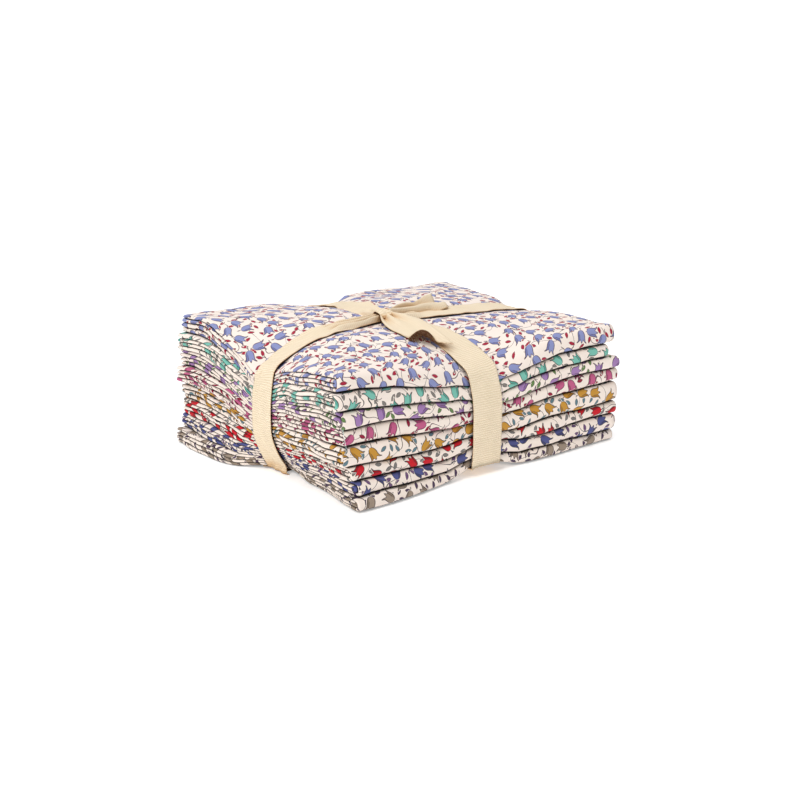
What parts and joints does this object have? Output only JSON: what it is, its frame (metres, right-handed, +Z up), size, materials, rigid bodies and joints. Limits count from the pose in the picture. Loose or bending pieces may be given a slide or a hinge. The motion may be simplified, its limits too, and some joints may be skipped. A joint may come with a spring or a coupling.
{
  "type": "folded fabric bundle",
  "caption": "Stack of folded cuts of printed cotton, tied both ways with a flat cotton tape that is knotted on top.",
  "frame": {"origin": "under the middle of the bundle, on the surface it rests on", "axes": "+X along the bundle's long side, towards the cut ends; +Y from the side with the one big fold of each cloth to the opposite side; +Z up"},
  "size_m": [0.148, 0.1198, 0.059],
  "materials": {
    "periwinkle print": "matte printed quilting cotton",
    "teal print": "matte printed quilting cotton",
    "lilac print": "matte printed quilting cotton",
    "pink print": "matte printed quilting cotton",
    "mustard print": "matte printed quilting cotton",
    "red print": "matte printed quilting cotton",
    "slate print": "matte printed quilting cotton",
    "taupe print": "matte printed quilting cotton",
    "cotton tape": "matte undyed woven cotton tape with fine cross ribs"
  },
  "bodies": {
    "root": {"fabric_periwinkle": "periwinkle print", "fabric_teal": "teal print", "fabric_lilac": "lilac print", "fabric_pink": "pink print", "fabric_mustard": "mustard print", "fabric_red": "red print", "fabric_slate": "slate print", "fabric_taupe": "taupe print", "ribbon": "cotton tape"}
  },
  "joints": []
}
